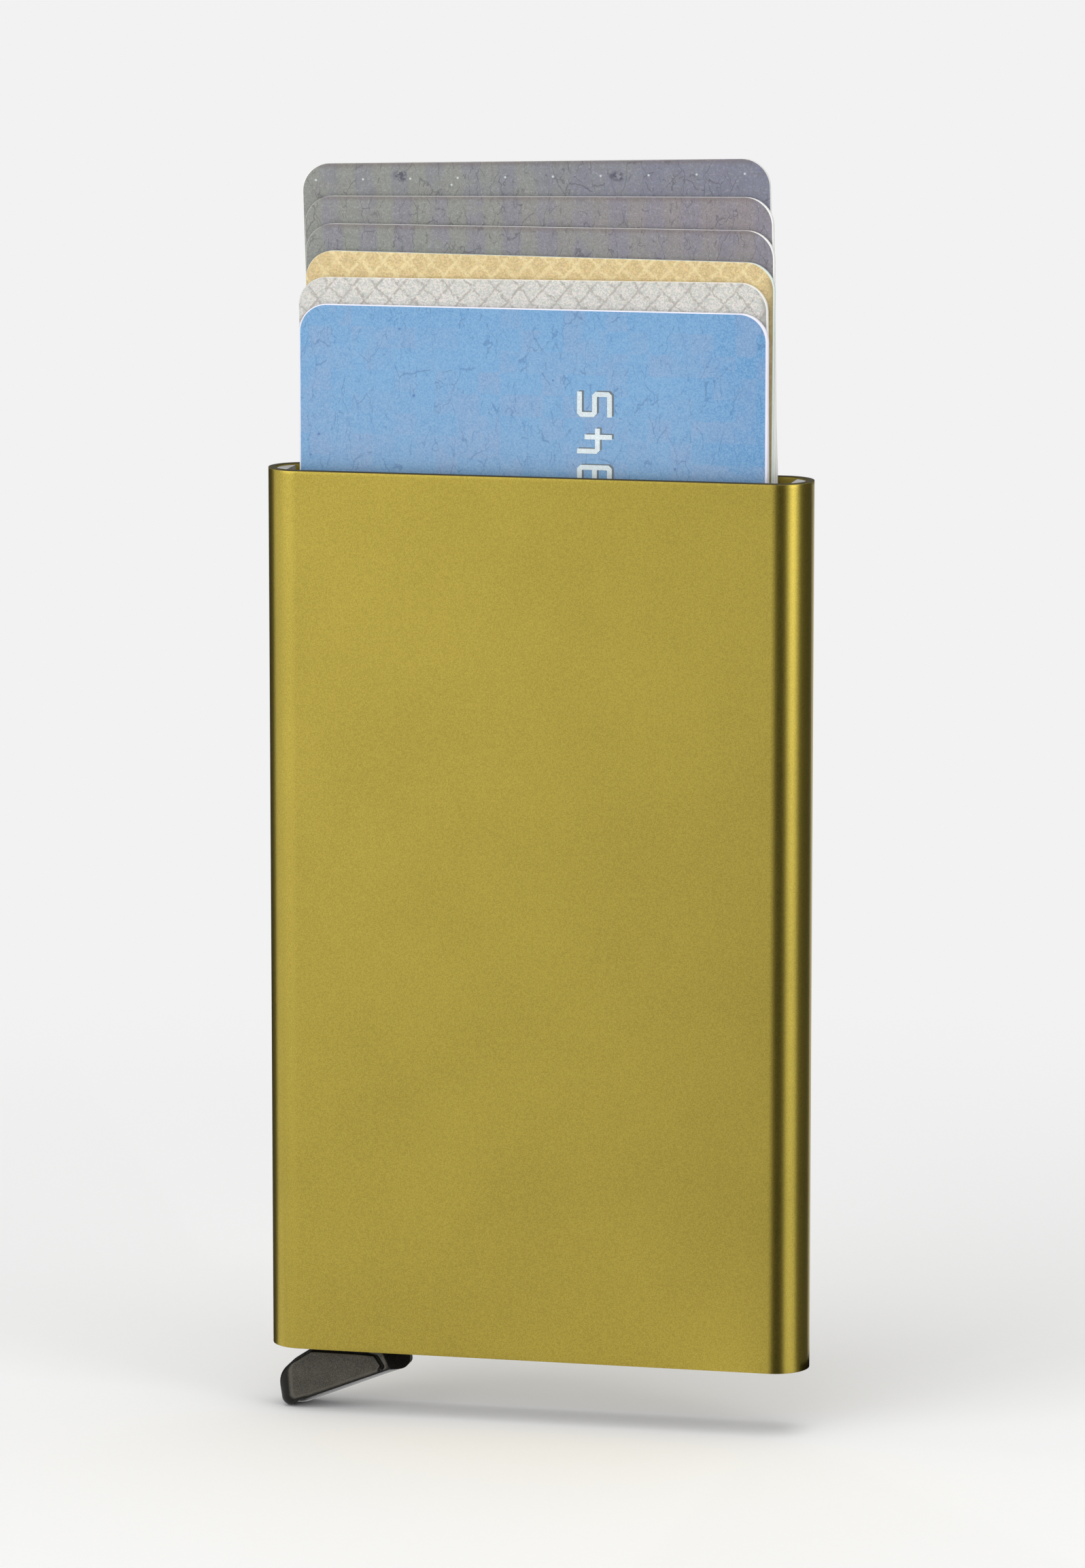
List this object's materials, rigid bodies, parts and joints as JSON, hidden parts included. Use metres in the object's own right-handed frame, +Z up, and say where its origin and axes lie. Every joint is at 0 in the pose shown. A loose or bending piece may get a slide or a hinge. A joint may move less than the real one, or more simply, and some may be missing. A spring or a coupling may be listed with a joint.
{
  "type": "pop up card holder",
  "caption": "Slim metal card case with half-round sides, a stepped thumb lever at the base and a fan of bank cards rising from the mouth.",
  "frame": {"origin": "centre of the case's base, on the underside of the base insert", "axes": "+X to the right and -Y out of the front face, with the lever's tab at the lower left of the front; +Z up, out of the mouth"},
  "size_m": [0.063, 0.008, 0.1451],
  "materials": {
    "anodised_case": "matt anodised, warm olive gold",
    "black_plastic": "fine moulded grain, nearly black",
    "steel": "bright drawn wire and rod",
    "grey_plastic": "plain, light grey",
    "grey_pile": "short dense pile",
    "blue_card": "satin laminate, lightly scratched",
    "silver_card": "silver glitter with a fine lattice",
    "gold_card": "gold glitter with a fine lattice",
    "dark_card": "mottled dark grey, lightly scratched",
    "chip_contact": "gold-plated contact plate"
  },
  "bodies": {
    "case": {"case_tube": "anodised_case", "base_insert": "black_plastic", "pivot_pin": "steel", "return_spring": "steel", "edge_liner_left": "grey_plastic", "edge_liner_right": "grey_plastic", "pile_strip_left": "grey_pile", "pile_strip_right": "grey_pile"},
    "lever": {"ejector_lever": "black_plastic", "lever_arm_1": "black_plastic", "lever_arm_2": "black_plastic", "lever_arm_3": "black_plastic", "lever_arm_4": "black_plastic", "lever_arm_5": "black_plastic", "lever_arm_6": "black_plastic"},
    "card_1": {"card_1_blue": "blue_card", "chip_1_blue": "chip_contact"},
    "card_2": {"card_2_silver": "silver_card", "chip_2_silver": "chip_contact"},
    "card_3": {"card_3_gold": "gold_card", "chip_3_gold": "chip_contact"},
    "card_4": {"card_4_dark": "dark_card"},
    "card_5": {"card_5_dark": "dark_card"},
    "card_6": {"card_6_dark": "dark_card"}
  },
  "joints": [
    {"name": "lever_hinge", "type": "hinge", "parent": "case", "child": "lever", "pos_m": [-0.0257, 0, 0.0035], "axis": [0, -1, 0], "range_deg": [0, 53.3], "stiffness_Nm_per_rad": 0.0015, "springref_deg": -34.38, "deforming": ["return_spring"]},
    {"name": "card_1_slide", "type": "slide", "parent": "case", "child": "card_1", "axis": [0, 0, 1], "range_m": [-0.02083, 0.06676]},
    {"name": "card_2_slide", "type": "slide", "parent": "case", "child": "card_2", "axis": [0, 0, 1], "range_m": [-0.02397, 0.06362]},
    {"name": "card_3_slide", "type": "slide", "parent": "case", "child": "card_3", "axis": [0, 0, 1], "range_m": [-0.02654, 0.06105]},
    {"name": "card_4_slide", "type": "slide", "parent": "case", "child": "card_4", "axis": [0, 0, 1], "range_m": [-0.02976, 0.05783]},
    {"name": "card_5_slide", "type": "slide", "parent": "case", "child": "card_5", "axis": [0, 0, 1], "range_m": [-0.0331, 0.05449]},
    {"name": "card_6_slide", "type": "slide", "parent": "case", "child": "card_6", "axis": [0, 0, 1], "range_m": [-0.03702, 0.05058]}
  ]
}
